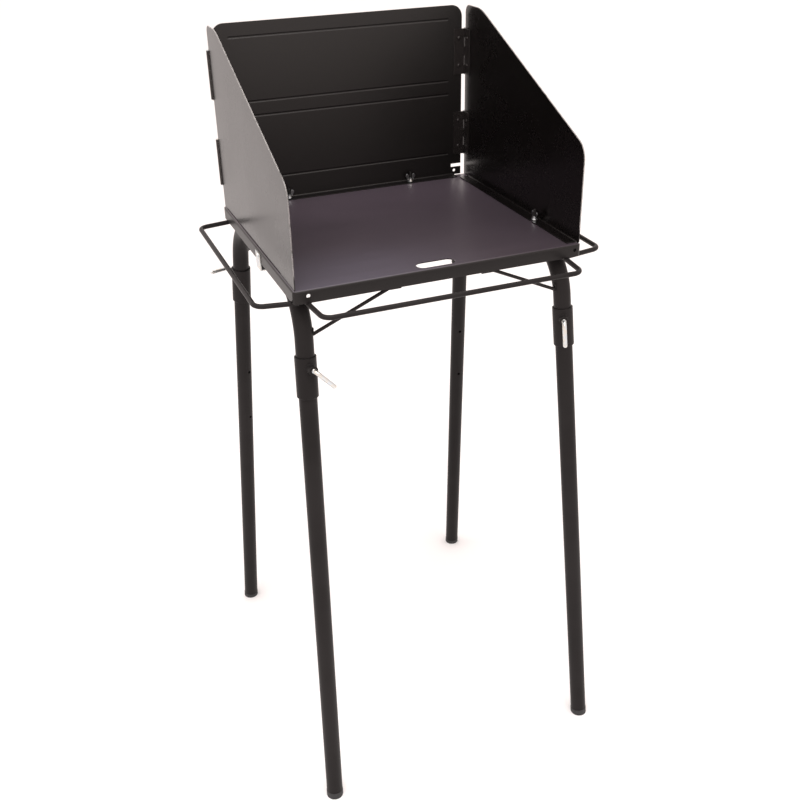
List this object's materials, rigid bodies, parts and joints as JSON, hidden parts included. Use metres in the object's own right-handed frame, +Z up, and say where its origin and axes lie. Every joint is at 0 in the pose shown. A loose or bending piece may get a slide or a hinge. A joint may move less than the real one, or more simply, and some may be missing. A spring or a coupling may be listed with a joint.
{
  "type": "dutch oven cook table",
  "caption": "Camp cook table: folded steel top with utensil rails, splayed plug-in tube legs held by clamp screws, and a hinged wind screen fastened with wing nuts.",
  "frame": {"origin": "on the floor under the middle of the table top", "axes": "+Z up, +Y towards the back panel of the wind screen, +X to the right as seen from the open front"},
  "size_m": [0.517, 0.558, 1.1073],
  "materials": {
    "frame_paint": "satin black powder coat",
    "top_paint": "satin dark grey-brown powder coat",
    "screen_paint": "satin black powder coat",
    "zinc": "bright zinc plating",
    "foot_plastic": "black plastic"
  },
  "bodies": {
    "table": {"table_top": "top_paint", "rail_left": "frame_paint", "rail_right": "frame_paint", "rail_front": "frame_paint", "leg_frame_left": "frame_paint", "leg_frame_right": "frame_paint", "strap_left": "zinc", "strap_right": "zinc", "strap_rivet_left": "zinc", "strap_rivet_right": "zinc", "stay_front_left": "frame_paint", "stay_front_right": "frame_paint", "stay_rear_left": "frame_paint", "stay_rear_right": "frame_paint", "screen_back": "screen_paint", "leaf_back_left_low": "frame_paint", "leaf_back_left_high": "frame_paint", "leaf_back_right_low": "frame_paint", "leaf_back_right_high": "frame_paint", "pin_left_low": "zinc", "pin_left_high": "zinc", "pin_right_low": "zinc", "pin_right_high": "zinc", "stud_back_left": "zinc", "stud_back_right": "zinc", "stud_side_left": "zinc", "stud_side_right": "zinc"},
    "leg_front_left": {"leg_front_left": "frame_paint", "socket_front_left": "frame_paint", "foot_front_left": "foot_plastic"},
    "clamp_front_left": {"clamp_front_left": "zinc"},
    "leg_front_right": {"leg_front_right": "frame_paint", "socket_front_right": "frame_paint", "foot_front_right": "foot_plastic"},
    "clamp_front_right": {"clamp_front_right": "zinc"},
    "leg_rear_left": {"leg_rear_left": "frame_paint", "socket_rear_left": "frame_paint", "foot_rear_left": "foot_plastic"},
    "clamp_rear_left": {"clamp_rear_left": "zinc"},
    "leg_rear_right": {"leg_rear_right": "frame_paint", "socket_rear_right": "frame_paint", "foot_rear_right": "foot_plastic"},
    "clamp_rear_right": {"clamp_rear_right": "zinc"},
    "screen_left": {"screen_left": "screen_paint", "leaf_side_left_low": "frame_paint", "leaf_side_left_high": "frame_paint"},
    "screen_right": {"screen_right": "screen_paint", "leaf_side_right_low": "frame_paint", "leaf_side_right_high": "frame_paint"},
    "nut_back_left": {"nut_back_left": "zinc"},
    "nut_back_right": {"nut_back_right": "zinc"},
    "nut_side_left": {"nut_side_left": "zinc"},
    "nut_side_right": {"nut_side_right": "zinc"}
  },
  "joints": [
    {"name": "leg_pull_front_left", "type": "slide", "parent": "table", "child": "leg_front_left", "axis": [-0.0386, -0.1231, -0.9916], "range_m": [0, 0.04]},
    {"name": "clamp_turn_front_left", "type": "hinge", "parent": "leg_front_left", "child": "clamp_front_left", "pos_m": [-0.19618, -0.17622, 0.7221], "axis": [0.161, -0.9802, 0.1154], "continuous": true},
    {"name": "leg_pull_front_right", "type": "slide", "parent": "table", "child": "leg_front_right", "axis": [0.0386, -0.1231, -0.9916], "range_m": [0, 0.04]},
    {"name": "clamp_turn_front_right", "type": "hinge", "parent": "leg_front_right", "child": "clamp_front_right", "pos_m": [0.19618, -0.17622, 0.7221], "axis": [-0.4423, -0.892, 0.0935], "continuous": true},
    {"name": "leg_pull_rear_left", "type": "slide", "parent": "table", "child": "leg_rear_left", "axis": [-0.0386, 0.1231, -0.9916], "range_m": [0, 0.04]},
    {"name": "clamp_turn_rear_left", "type": "hinge", "parent": "leg_rear_left", "child": "clamp_rear_left", "pos_m": [-0.19618, 0.17622, 0.7221], "axis": [-0.2876, 0.949, 0.129], "continuous": true},
    {"name": "leg_pull_rear_right", "type": "slide", "parent": "table", "child": "leg_rear_right", "axis": [0.0386, 0.1231, -0.9916], "range_m": [0, 0.04]},
    {"name": "clamp_turn_rear_right", "type": "hinge", "parent": "leg_rear_right", "child": "clamp_rear_right", "pos_m": [0.19618, 0.17622, 0.7221], "axis": [-0.2967, 0.949, 0.1062], "continuous": true},
    {"name": "screen_swing_left", "type": "hinge", "parent": "table", "child": "screen_left", "pos_m": [-0.2076, 0.1911, 0.971], "axis": [0, 0, -1], "range_deg": [0, 90]},
    {"name": "screen_swing_right", "type": "hinge", "parent": "table", "child": "screen_right", "pos_m": [0.2076, 0.1911, 0.971], "axis": [0, 0, 1], "range_deg": [0, 90]},
    {"name": "nut_turn_back_left", "type": "hinge", "parent": "table", "child": "nut_back_left", "pos_m": [-0.105, 0.18052, 0.83785], "axis": [0, 0, 1], "continuous": true},
    {"name": "nut_turn_back_right", "type": "hinge", "parent": "table", "child": "nut_back_right", "pos_m": [0.105, 0.18052, 0.83785], "axis": [0, 0, 1], "continuous": true},
    {"name": "nut_turn_side_left", "type": "hinge", "parent": "table", "child": "nut_side_left", "pos_m": [-0.19702, -0.078, 0.83785], "axis": [0, 0, 1], "continuous": true},
    {"name": "nut_turn_side_right", "type": "hinge", "parent": "table", "child": "nut_side_right", "pos_m": [0.19702, -0.078, 0.83785], "axis": [0, 0, 1], "continuous": true}
  ]
}
